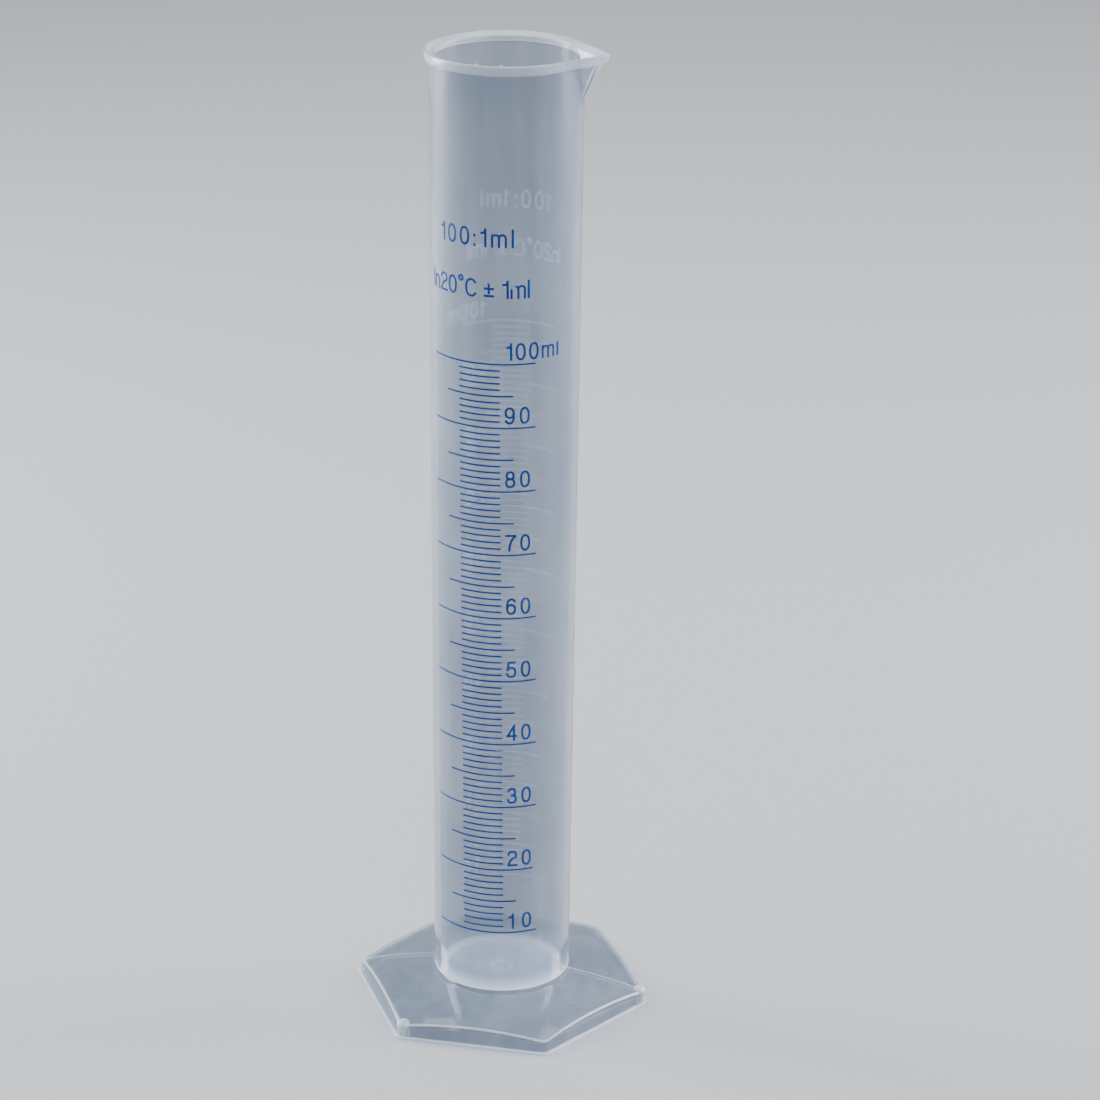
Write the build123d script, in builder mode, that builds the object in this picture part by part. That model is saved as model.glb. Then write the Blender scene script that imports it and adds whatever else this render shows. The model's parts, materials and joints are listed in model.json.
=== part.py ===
from build123d import *
from math import atan2, cos, degrees, hypot, pi, radians, sin, sqrt, tan
import os

# A 100 ml measuring cylinder: one translucent moulding, with a scale printed on its front and on its back.
# The moulding is divided at its own features into solids that meet face to face.
#
# Frame: the origin is under the middle of the foot, on the tube's axis. +Z runs up the tube, and +X points
# along the spout, which stands over one corner of the foot. The front scale faces -Y and the rear one +Y.

# Driving dimensions, in millimetres and degrees.
overall_height = 222.0
rim_radius = 16.75            # outside of the tube at the rim
heel_radius = 15.55           # outside of the tube where it meets the foot
wall = 1.47                   # tube wall, the same all the way up
bore_floor = 6.0              # height of the floor inside the bore
floor_thickness = 1.6
heel_fillet = 1.6             # between the floor and the bore
gate_radius = 2.5             # round gate recess under the middle of the floor
gate_depth = 0.5

bead_height = 2.1
bead_reach = 0.75             # how far the rim bead stands out from the tube
bead_round = 0.55

spout_reach = 5.0             # from the tube's outside to the tip, under the bead
spout_depth = 10.9            # how far the spout runs down the tube
spout_half_angle = 27.0       # where its sides leave the tube, seen from above
spout_wall = 1.15

foot_corner_radius = 34.7     # the hexagon's circumscribed circle, at the lip
foot_corner_round = 1.8
lip_height = 0.6
lip_reach = 0.5               # how far the lip stands out from the skirt
junction_height = 6.9         # where the foot's top meets the tube
dome_radius = 120.0           # the foot's top is part of a ball this big
plate_thickness = 1.8
skirt_wall = 1.4
skirt_draft = 6.0             # how far the skirt leans inwards
top_edge_round = 0.7

pip_radius = 1.5
pip_place = 32.5              # from the axis to the middle of a corner pip
pip_height = 4.0
pip_round = 0.7
pip_angles = (0, 120, 240)

# The scale, laid out as flat artwork that is wrapped round the tube: distances across run from the scale's
# own direction to the right, and the whole print is turned a little on the tube.
ink = 0.08
print_skew = 0.55             # the artwork leans to the left as it goes up
skew_centre = 90.0            # height where the skew moves nothing
rear_turn = 195.0             # from the front scale round to the rear one
line_width = 0.36
ten_ml_span = (-14.0, 11.0)
five_ml_span = (-9.5, 6.1)
one_ml_span = (-6.1, 3.2)
numeral_span = (4.2, 9.7)
top_label_span = (4.5, 16.9)
letter_height = 3.9
letter_stroke = 0.5
letter_foot_gap = 0.9         # from a line up to the numeral that stands on it

# Lettering above the scale: the height of its foot, its letters' height and its two ends.
capacity_text = ("100:1ml", 183.1, 4.1, (-11.4, 6.4))
tolerance_text = ("In20°C±1ml", 171.9, 4.1, (-14.7, 9.8))

# A plain alphabet drawn with the middle line of one pen stroke, in units of the letter's height. A bar is
# x, y of one end and x, y of the other; a bow is x, y of its centre, its radius, first angle and sweep.
alphabet = {
    "0": (
        (0.3, 0.7, 0.3, 0, 180),
        (0, 0.7, 0, 0.3),
        (0.3, 0.3, 0.3, 180, 180),
        (0.6, 0.3, 0.6, 0.7),
    ),
    "1": ((0.26, 0, 0.26, 1), (0.26, 0.98, 0, 0.76)),
    "2": ((0.3, 0.7, 0.3, -35, 200), (0.57, 0.58, 0.03, 0), (0, 0, 0.6, 0)),
    "3": ((0.25, 0.76, 0.24, -90, 240), (0.25, 0.26, 0.26, -150, 240)),
    "4": ((0.46, 0, 0.46, 1), (0.44, 1, 0, 0.3), (0, 0.3, 0.64, 0.3)),
    "5": ((0.52, 1, 0.09, 1), (0.09, 1, 0.04, 0.5), (0.25, 0.3, 0.3, -150, 285)),
    "6": ((0.27, 0.28, 0.28, 0, 360), (0.63, 0.42, 0.64, 115, 66)),
    "7": ((0, 1, 0.6, 1), (0.6, 1, 0.2, 0)),
    "8": ((0.27, 0.77, 0.23, 0, 360), (0.27, 0.26, 0.27, 0, 360)),
    "9": ((0.27, 0.72, 0.28, 0, 360), (-0.09, 0.58, 0.64, -65, 66)),
    ":": ((0, 0, 0, 0.13), (0, 0.5, 0, 0.63)),
    "m": (
        (0, 0, 0, 0.7),
        (0.17, 0.5, 0.17, 0, 180),
        (0.34, 0.5, 0.34, 0),
        (0.51, 0.5, 0.17, 0, 180),
        (0.68, 0.5, 0.68, 0),
    ),
    "n": ((0, 0, 0, 0.7), (0.2, 0.47, 0.2, 0, 180), (0.4, 0.47, 0.4, 0)),
    "l": ((0, 0, 0, 1),),
    "I": ((0, 0, 0, 1),),
    "C": ((0.34, 0.66, 0.34, 20, 160), (0, 0.66, 0, 0.34), (0.34, 0.34, 0.34, 180, 160)),
    "°": ((0.13, 0.89, 0.12, 0, 360),),
    "±": ((0, 0.08, 0.5, 0.08), (0, 0.55, 0.5, 0.55), (0.25, 0.3, 0.25, 0.8)),
}

os.makedirs("parts", exist_ok=True)

# Sizes that follow from the driving dimensions.
bead_bottom = overall_height - bead_height
taper = (rim_radius - heel_radius) / (overall_height - junction_height)
floor_bottom = bore_floor - floor_thickness
spout_tip = rim_radius + spout_reach
spout_bottom = overall_height - spout_depth
foot_apothem = foot_corner_radius * cos(radians(30))
skirt_apothem = foot_apothem - lip_reach


def tube_outside(height):
    """Outside radius of the tapering tube at a height."""
    return heel_radius + taper * (height - junction_height)


def bore_radius(height):
    """Inside radius of the tapering bore at a height."""
    return tube_outside(height) - wall


def liquid_height(millilitres):
    """Height that a volume of liquid fills the bore to.

    A bore of radius a that widens by k for each millimetre of height h holds
    pi / (3 k) ((a + k h)^3 - a^3). The fillet round the floor takes up a little of that room.
    """
    start = bore_radius(bore_floor)
    fillet_volume = heel_fillet**2 * (1 - pi / 4) * 2 * pi * (start - heel_fillet / 5)
    volume = 1000 * millilitres + fillet_volume
    return bore_floor + ((start**3 + 3 * taper * volume / pi) ** (1 / 3) - start) / taper


# ---------------------------------------------------------------- tube

# The whole outside of the tube as one tapering plug, which its neighbours are cut back to.
with BuildPart() as tube_plug:
    with BuildSketch(Plane.XZ):
        with BuildLine():
            Polyline(
                (0, floor_bottom),
                (tube_outside(floor_bottom), floor_bottom),
                (tube_outside(bead_bottom), bead_bottom),
                (0, bead_bottom),
                close=True,
            )
        make_face()
    revolve(axis=Axis.Z)

# The spout's sides are flat. They make a V in plan, and the whole V leans back to the tube on its way down.
spout_back = 10.0             # the V's back, well inside the bore
half_mouth = rim_radius * sin(radians(spout_half_angle))
v_slope = half_mouth / (spout_tip - rim_radius * cos(radians(spout_half_angle)))
v_half_angle = degrees(atan2(v_slope, 1))
lean = (-spout_reach, 0, -spout_depth)
lean_length = hypot(spout_reach, spout_depth)


def v_prism(tip, top, length):
    """A leaning prism with a V plan, whose nose is at the tip and whose back is inside the bore."""
    half_width = (tip - spout_back) * v_slope
    with BuildPart() as prism:
        with BuildSketch(Plane.XY.offset(top)):
            with BuildLine():
                Polyline((tip, 0), (spout_back, half_width), (spout_back, -half_width), close=True)
            make_face()
        extrude(amount=length, dir=lean)
    return prism.part


# The channel inside the spout, which also opens the tube's wall and the bead. It starts above the rim.
channel_rise = 1.0
channel_lean = channel_rise * spout_reach / spout_depth
channel_tip = spout_tip - spout_wall / sin(radians(v_half_angle)) + channel_lean
channel_length = lean_length * (1 + channel_rise / spout_depth)
channel = v_prism(channel_tip, overall_height + channel_rise, channel_length)

with BuildPart() as tube_wall:
    heel_top = bore_floor + heel_fillet
    heel_inside = bore_radius(bore_floor) - heel_fillet
    with BuildSketch(Plane.XZ):
        with BuildLine():
            Polyline(
                (heel_inside, bore_floor),
                (tube_outside(bore_floor), bore_floor),
                (tube_outside(bead_bottom), bead_bottom),
                (bore_radius(bead_bottom), bead_bottom),
                (bore_radius(heel_top), heel_top),
            )
            half_way = (heel_inside + heel_fillet * cos(pi / 4), heel_top - heel_fillet * sin(pi / 4))
            ThreePointArc((bore_radius(heel_top), heel_top), half_way, (heel_inside, bore_floor))
        make_face()
    revolve(axis=Axis.Z)
    add(channel, mode=Mode.SUBTRACT)
tube_wall.part.label = "tube_wall"
export_step(tube_wall.part, "parts/tube_wall.step")

# The floor closes the bottom of the tube, with the round recess that the moulding gate leaves under it.
with BuildPart() as tube_floor:
    with BuildSketch(Plane.XZ):
        with BuildLine():
            Polyline(
                (0, floor_bottom),
                (tube_outside(floor_bottom), floor_bottom),
                (tube_outside(bore_floor), bore_floor),
                (0, bore_floor),
                close=True,
            )
        make_face()
    revolve(axis=Axis.Z)
    with Locations((0, 0, floor_bottom)):
        Cylinder(gate_radius, 2 * gate_depth, mode=Mode.SUBTRACT)
tube_floor.part.label = "tube_floor"
export_step(tube_floor.part, "parts/tube_floor.step")

# The rim bead runs round the mouth and on along both edges of the spout to its tip.
with BuildPart() as rim_bead:
    with BuildSketch(Plane.XY.offset(bead_bottom)):
        Circle(tube_outside(bead_bottom) + bead_reach)
    extrude(amount=bead_height)
    bead_tip = spout_tip + bead_reach / sin(radians(v_half_angle))
    add(v_prism(bead_tip, overall_height, lean_length * bead_height / spout_depth))
    top_edges = rim_bead.faces().sort_by(Axis.Z)[-1].outer_wire().edges()
    fillet(top_edges, radius=bead_round)
    with Locations((0, 0, overall_height - bead_height / 2)):
        Cylinder(bore_radius(bead_bottom), 2 * bead_height, mode=Mode.SUBTRACT)
    add(channel, mode=Mode.SUBTRACT)
rim_bead.part.label = "rim_bead"
export_step(rim_bead.part, "parts/rim_bead.step")

# The spout's two flat sides, from under the bead down to the point where they run into the tube.
with BuildPart() as pour_spout:
    below_bead = spout_tip - spout_reach * bead_height / spout_depth
    add(v_prism(below_bead, bead_bottom, lean_length * (1 - bead_height / spout_depth)))
    add(channel, mode=Mode.SUBTRACT)
    add(tube_plug.part, mode=Mode.SUBTRACT)
pour_spout.part.label = "pour_spout"
export_step(pour_spout.part, "parts/pour_spout.step")

# ---------------------------------------------------------------- foot


def hexagon_block(face_distance, corner_round, height, draft):
    """A six-sided block with rounded corners, one of them on +X, that leans inwards on its way up."""
    with BuildPart() as block:
        with BuildSketch() as outline:
            RegularPolygon(face_distance / cos(radians(30)), 6)
            fillet(outline.vertices(), radius=corner_round)
        extrude(amount=height, taper=draft)
    return block.part


def under_dome(lowered):
    """Everything under the foot's domed top, or under the same dome lowered by a thickness."""
    centre = junction_height - lowered - sqrt(dome_radius**2 - heel_radius**2)
    with BuildPart() as dome:
        with Locations((0, 0, centre)):
            Sphere(dome_radius)
    return dome.part


block_height = junction_height + 1
foot_outside = hexagon_block(skirt_apothem, foot_corner_round, block_height, skirt_draft)
foot_inside = hexagon_block(
    skirt_apothem - skirt_wall, foot_corner_round / 2, block_height, skirt_draft
)

# Three pips stand at every second corner of the foot, from the ground up through its top.
with BuildPart() as corner_pips:
    with BuildSketch():
        for angle in pip_angles:
            with Locations((pip_place * cos(radians(angle)), pip_place * sin(radians(angle)))):
                Circle(pip_radius)
    extrude(amount=pip_height)
    fillet(corner_pips.edges().filter_by(GeomType.CIRCLE).group_by(Axis.Z)[-1], radius=pip_round)
corner_pips.part.label = "corner_pips"
export_step(corner_pips.part, "parts/corner_pips.step")

# The plate is the foot's domed top, with the edge above the skirt rounded over.
with BuildPart() as foot_plate:
    add(foot_outside)
    add(under_dome(0), mode=Mode.INTERSECT)
    dome_face = foot_plate.faces().filter_by(GeomType.SPHERE)[0]
    fillet(dome_face.outer_wire().edges(), radius=top_edge_round)
    add(under_dome(plate_thickness), mode=Mode.SUBTRACT)
    add(tube_plug.part, mode=Mode.SUBTRACT)
    add(corner_pips.part, mode=Mode.SUBTRACT)
foot_plate.part.label = "foot_plate"
export_step(foot_plate.part, "parts/foot_plate.step")

with BuildPart() as foot_skirt:
    add(foot_outside)
    add(foot_inside, mode=Mode.SUBTRACT)
    add(under_dome(plate_thickness), mode=Mode.INTERSECT)
    add(corner_pips.part, mode=Mode.SUBTRACT)
foot_skirt.part.label = "foot_skirt"
export_step(foot_skirt.part, "parts/foot_skirt.step")

with BuildPart() as foot_lip:
    with BuildSketch() as lip_outline:
        RegularPolygon(foot_corner_radius, 6)
        fillet(lip_outline.vertices(), radius=foot_corner_round + lip_reach)
    extrude(amount=lip_height)
    add(foot_outside, mode=Mode.SUBTRACT)
    add(corner_pips.part, mode=Mode.SUBTRACT)
foot_lip.part.label = "foot_lip"
export_step(foot_lip.part, "parts/foot_lip.step")

# ---------------------------------------------------------------- print

front = -90.0
sides = {"front": 0, "rear": rear_turn}


def tapering_plug(extra):
    """A solid plug with the tube's own taper, larger than the tube all round by an extra."""
    low, high = junction_height, spout_bottom
    with BuildPart() as plug:
        with BuildSketch(Plane.XZ):
            with BuildLine():
                Polyline(
                    (0, low),
                    (tube_outside(low) + extra, low),
                    (tube_outside(high) + extra, high),
                    (0, high),
                    close=True,
                )
            make_face()
        revolve(axis=Axis.Z)
    return plug.part


tube_face = tapering_plug(0)
ink_face = tapering_plug(ink)


def angle_round_tube(across, height):
    """Angle of a place on the front artwork: its distance across, wrapped round the tube, plus the skew."""
    shift = (skew_centre - height) * tan(radians(print_skew))
    return radians(front) + (across + shift) / tube_outside(height)


def graduation_lines(volumes, span):
    """Lines round the tube at the heights of some volumes, in one part."""
    with BuildPart() as lines:
        for volume in volumes:
            middle = liquid_height(volume)
            low, high = middle - line_width / 2, middle + line_width / 2
            start, end = (angle_round_tube(across, middle) for across in span)
            outward = (cos(start), sin(start), 0)
            with BuildSketch(Plane((0, 0, 0), x_dir=outward, z_dir=(sin(start), -cos(start), 0))):
                with BuildLine():
                    Polyline(
                        (tube_outside(low), low),
                        (tube_outside(low) + ink, low),
                        (tube_outside(high) + ink, high),
                        (tube_outside(high), high),
                        close=True,
                    )
                make_face()
            revolve(axis=Axis.Z, revolution_arc=degrees(end - start))
    return lines.part


def letter_sketch(letter, height):
    """One letter, traced with a pen of the stroke's width along the alphabet's lines."""
    pen = height - letter_stroke
    rise = letter_stroke / 2
    with BuildSketch() as sketch:
        for x, y, *rest in alphabet[letter]:
            with BuildLine():
                if len(rest) == 2:
                    Line((pen * x, pen * y + rise), (pen * rest[0], pen * rest[1] + rise))
                else:
                    CenterArc((pen * x, pen * y + rise), pen * rest[0], rest[1], rest[2])
            trace(line_width=letter_stroke)
    return sketch.sketch


def lettering(text, foot, height, span):
    """Lettering wrapped round the tube: each letter is a prism, cut to the print's thin skin."""
    letters = [letter_sketch(letter, height) for letter in text]
    boxes = [letter.bounding_box() for letter in letters]
    gap = (span[1] - span[0] - sum(box.size.X for box in boxes)) / (len(text) - 1)
    prism_start = heel_radius - wall
    with BuildPart() as line:
        left = span[0]
        for letter, box in zip(letters, boxes):
            angle = angle_round_tube(left + box.size.X / 2, foot + height / 2)
            outward = Vector(cos(angle), sin(angle), 0)
            along = Vector(-sin(angle), cos(angle), 0)
            root = prism_start * outward - box.center().X * along + Vector(0, 0, foot)
            with BuildSketch(Plane(origin=root, x_dir=along, z_dir=outward)):
                add(letter)
            extrude(amount=rim_radius + bead_reach - prism_start)
            left += box.size.X + gap
        add(ink_face, mode=Mode.INTERSECT)
        add(tube_face, mode=Mode.SUBTRACT)
    return line.part


tens = range(10, 101, 10)
fives = range(15, 96, 10)
ones = [volume for volume in range(11, 100) if volume % 5]
label_foot = liquid_height(100) + letter_foot_gap
artwork = {
    "ten_ml_lines": graduation_lines(tens, ten_ml_span),
    "five_ml_lines": graduation_lines(fives, five_ml_span),
    "one_ml_lines": graduation_lines(ones, one_ml_span),
    "capacity_text": lettering(*capacity_text),
    "tolerance_text": lettering(*tolerance_text),
    "label_100_ml": lettering("100ml", label_foot, letter_height, top_label_span),
}
for volume in range(10, 91, 10):
    foot = liquid_height(volume) + letter_foot_gap
    artwork[f"numeral_{volume}"] = lettering(str(volume), foot, letter_height, numeral_span)

for side, turn in sides.items():
    for name, piece in artwork.items():
        with BuildPart() as print_piece:
            add(piece, rotation=(0, 0, turn))
        print_piece.part.label = f"{side}_{name}"
        export_step(print_piece.part, f"parts/{side}_{name}.step")
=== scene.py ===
from dataclasses import dataclass
from enum import Enum
import json
import logging
from math import cos, pi, radians, sin, sqrt, tan
from typing import Union

import bpy
from mathutils import Matrix, Vector
import numpy as np


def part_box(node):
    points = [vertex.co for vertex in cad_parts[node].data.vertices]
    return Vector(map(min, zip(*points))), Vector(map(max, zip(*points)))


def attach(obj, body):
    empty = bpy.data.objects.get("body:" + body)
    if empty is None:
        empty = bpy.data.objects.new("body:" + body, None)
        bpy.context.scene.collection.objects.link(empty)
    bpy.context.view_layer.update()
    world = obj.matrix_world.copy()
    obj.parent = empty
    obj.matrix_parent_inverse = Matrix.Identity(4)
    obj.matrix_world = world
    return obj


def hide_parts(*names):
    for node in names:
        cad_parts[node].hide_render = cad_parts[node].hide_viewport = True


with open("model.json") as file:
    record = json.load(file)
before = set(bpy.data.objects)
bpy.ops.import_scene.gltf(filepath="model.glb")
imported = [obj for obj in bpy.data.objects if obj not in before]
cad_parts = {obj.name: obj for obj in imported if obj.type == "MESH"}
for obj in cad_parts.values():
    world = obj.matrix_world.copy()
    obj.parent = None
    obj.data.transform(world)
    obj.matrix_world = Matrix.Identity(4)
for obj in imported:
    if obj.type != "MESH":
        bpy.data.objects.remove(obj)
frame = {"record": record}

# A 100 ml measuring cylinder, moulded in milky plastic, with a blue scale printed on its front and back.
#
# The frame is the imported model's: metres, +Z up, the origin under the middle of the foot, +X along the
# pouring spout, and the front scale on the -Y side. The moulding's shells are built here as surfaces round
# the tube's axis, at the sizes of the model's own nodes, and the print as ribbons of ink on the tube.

log = logging.getLogger("measuring_cylinder")
MM = 0.001
MILLILITRE = 1e-6
ROOT = "root"

Socket = bpy.types.NodeSocket
Value = Union[float, tuple, Socket]


# ------------------------------------------------------------------ meshes


def ring_spacing(columns: int, corners: int, crowding: float) -> np.ndarray:
    """Angles once round the axis, crowded together at evenly spaced corners.

    The angle is s - crowding / corners * sin(corners * s) for evenly spaced s, so the steps at a corner are
    (1 - crowding) of the usual step.

    Args:
        columns: How many angles.
        corners: How many places they crowd at, the first at angle 0.
        crowding: From 0, even, to just under 1, tight.

    Returns:
        The angles, in radians.
    """
    even = np.linspace(0.0, 2.0 * pi, columns, endpoint=False)
    return even - crowding / corners * np.sin(corners * even)


def arc(centre: tuple, size: float, first: float, last: float, steps: int) -> np.ndarray:
    """Points along a circular arc in the plane of a profile.

    Args:
        centre: The arc's centre, as distance from the axis and height.
        size: Its radius.
        first: First angle in degrees, 0 pointing away from the axis and 90 up.
        last: Last angle in degrees.
        steps: How many points.

    Returns:
        An array of distance and height, one row for each point.
    """
    turn = np.radians(np.linspace(first, last, steps))
    return np.stack([centre[0] + size * np.cos(turn), centre[1] + size * np.sin(turn)], axis=1)


def round_surface(angles: np.ndarray, radius: np.ndarray, height: np.ndarray) -> np.ndarray:
    """Places on a surface given round the Z axis: x = r cos a, y = r sin a, z = h.

    Args:
        angles: The columns' angles.
        radius: Distance from the axis, rows by columns.
        height: Height, rows by columns.

    Returns:
        Vertices, row after row.
    """
    places = np.stack([radius * np.cos(angles), radius * np.sin(angles), height], axis=-1)
    return places.reshape(-1, 3)


def lattice(rows: int, columns: int, closed: bool = False) -> np.ndarray:
    """Quads of a grid whose columns join up, facing out where the rows run up the outside.

    Args:
        rows: Number of rows.
        columns: Number of columns.
        closed: Whether the last row joins the first.

    Returns:
        Vertex numbers, four for each quad.
    """
    row = np.arange(rows if closed else rows - 1)[:, None]
    column = np.arange(columns)[None, :]
    above, beside = (row + 1) % rows, (column + 1) % columns
    corners = (
        row * columns + column,
        row * columns + beside,
        above * columns + beside,
        above * columns + column,
    )
    return np.stack(corners, axis=-1).reshape(-1, 4)


NO_FANS = np.zeros((0, 3), dtype=int)


def new_mesh(
    name: str, vertices: np.ndarray, quads: np.ndarray, fans: np.ndarray = NO_FANS, smooth: bool = True
) -> bpy.types.Mesh:
    """A mesh made from whole arrays.

    Args:
        name: The mesh's name.
        vertices: Its vertices.
        quads: Vertex numbers, four for each quad.
        fans: Vertex numbers, three for each triangle round a pole.
        smooth: Whether its faces are shaded as one curved surface.

    Returns:
        The mesh.
    """
    mesh = bpy.data.meshes.new(name)
    mesh.vertices.add(len(vertices))
    mesh.vertices.foreach_set("co", vertices.astype(np.float32).ravel())
    loops = np.concatenate([quads.ravel(), fans.ravel()]).astype(np.int32)
    sizes = np.concatenate([np.full(len(quads), 4), np.full(len(fans), 3)])
    mesh.loops.add(len(loops))
    mesh.loops.foreach_set("vertex_index", loops)
    mesh.polygons.add(len(sizes))
    mesh.polygons.foreach_set("loop_start", (np.cumsum(sizes) - sizes).astype(np.int32))
    mesh.polygons.foreach_set("use_smooth", np.full(len(sizes), smooth))
    mesh.update(calc_edges=True)
    mesh.validate()
    return mesh


def capped(vertices: np.ndarray, columns: int, poles: tuple) -> tuple:
    """A grid of rows made into a closed body, with a vertex that closes the first row and one the last.

    Args:
        vertices: The grid's vertices, row after row.
        columns: How many vertices make a row.
        poles: The places of the first and the last pole.

    Returns:
        All vertices, the quads, and the triangles round the poles.
    """
    count, rows = len(vertices), len(vertices) // columns
    here = np.arange(columns)
    beside = (here + 1) % columns
    last = (rows - 1) * columns
    first_fan = np.stack([np.full(columns, count), beside, here], axis=1)
    last_fan = np.stack([last + here, last + beside, np.full(columns, count + 1)], axis=1)
    every = np.concatenate([vertices, np.array(poles, dtype=float)])
    return every, lattice(rows, columns), np.concatenate([first_fan, last_fan])


def joined(bodies: list) -> tuple:
    """Several bodies as one: each body's vertex numbers are moved past those of the bodies before it.

    Args:
        bodies: For each body, its vertices and then one or more arrays of faces.

    Returns:
        All vertices, and then as many arrays of faces.
    """
    starts = np.cumsum([0] + [len(vertices) for vertices, *_ in bodies[:-1]])
    faces = [
        np.concatenate([numbers + start for numbers, start in zip(kind, starts)])
        for kind in zip(*(kinds for _, *kinds in bodies))
    ]
    return np.concatenate([vertices for vertices, *_ in bodies]), *faces


def place(name: str, mesh: bpy.types.Mesh, materials: list, slot: str, replaced: tuple) -> bpy.types.Object:
    """Makes a mesh a piece of the object and puts it in the stead of CAD nodes.

    Args:
        name: The piece's name.
        mesh: Its mesh, in place.
        materials: Its materials, in the order of its faces' numbers.
        slot: The record's material slot that the piece belongs to; it is not used.
        replaced: The CAD nodes that it stands for.

    Returns:
        The piece.
    """
    piece = bpy.data.objects.new(name, mesh)
    bpy.context.scene.collection.objects.link(piece)
    for material in materials:
        mesh.materials.append(material)
    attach(piece, ROOT)
    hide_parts(*replaced)
    log.info("%s: %d faces, stands for %s", name, len(mesh.polygons), ", ".join(replaced))
    return piece


# ------------------------------------------------------------------ nodes


class Wiring:
    """A node tree with short ways to add nodes and join them."""

    def __init__(self, tree: bpy.types.NodeTree) -> None:
        """Keeps the tree that nodes are added to."""
        self.tree = tree

    def add(self, kind: str, inputs: dict | None = None, **settings: object) -> bpy.types.Node:
        """Adds a node.

        Args:
            kind: The node's type, without its ShaderNode prefix.
            inputs: For each input's name or number, a plain value or an output to join to it.
            settings: The node's own properties.

        Returns:
            The node.
        """
        node = self.tree.nodes.new("ShaderNode" + kind)
        for name, setting in settings.items():
            setattr(node, name, setting)
        for name, value in (inputs or {}).items():
            self.feed(node.inputs[name], value)
        return node

    def feed(self, socket: Socket, value: Value) -> None:
        """Joins an output to an input, or sets the input to a plain value."""
        if isinstance(value, Socket):
            self.tree.links.new(value, socket)
        else:
            socket.default_value = value

    def maths(self, operation: str, *values: Value) -> Socket:
        """The result of a Math node on one to three values."""
        return self.add("Math", dict(enumerate(values)), operation=operation).outputs[0]

    def ramp(
        self, value: Value, low: float, high: float, to_low: float = 0.0, to_high: float = 1.0
    ) -> Socket:
        """A value carried smoothly from one range to another, and held at the ends.

        Args:
            value: What to map.
            low: Where the result starts.
            high: Where it ends.
            to_low: The result at the start.
            to_high: The result at the end.

        Returns:
            The mapped value.
        """
        inputs = {"Value": value, "From Min": low, "From Max": high, "To Min": to_low, "To Max": to_high}
        return self.add("MapRange", inputs, interpolation_type="SMOOTHSTEP").outputs["Result"]

    def blend(self, share: Value, first: Value, second: Value) -> Socket:
        """One colour turning into another as a share goes from 0 to 1."""
        node = self.add("Mix", data_type="RGBA")
        for number, value in ((0, share), (6, first), (7, second)):
            self.feed(node.inputs[number], value)
        return node.outputs[2]

    def noise(self, position: Value, scale: Value, detail: float, stretch: tuple = (1.0, 1.0, 1.0)) -> Socket:
        """A cloud of noise from 0 to 1, which may be drawn out along an axis.

        Args:
            position: Where the pattern is read.
            scale: How fine it is, in cycles to a metre.
            detail: How many finer layers are added.
            stretch: How the position is scaled along each axis first.

        Returns:
            The noise.
        """
        moved = self.add("Mapping", {"Vector": position, "Scale": stretch}).outputs[0]
        return self.add("TexNoise", {"Vector": moved, "Scale": scale, "Detail": detail}).outputs["Fac"]


def new_group(name: str, inputs: dict, outputs: tuple) -> tuple:
    """Starts a node group with named sockets.

    Args:
        name: The group's name.
        inputs: For each input's name, its usual value, or None for a position.
        outputs: Names of the number outputs.

    Returns:
        The group, its wiring, the inside ends of its inputs by name, and the node that takes its outputs.
    """
    group = bpy.data.node_groups.new(name, "ShaderNodeTree")
    for label, usual in inputs.items():
        kind = "NodeSocketVector" if usual is None else "NodeSocketFloat"
        socket = group.interface.new_socket(label, in_out="INPUT", socket_type=kind)
        if usual is not None:
            socket.default_value = usual
    for label in outputs:
        group.interface.new_socket(label, in_out="OUTPUT", socket_type="NodeSocketFloat")
    wiring = Wiring(group)
    starts = group.nodes.new("NodeGroupInput").outputs
    return group, wiring, starts, group.nodes.new("NodeGroupOutput")


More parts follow.
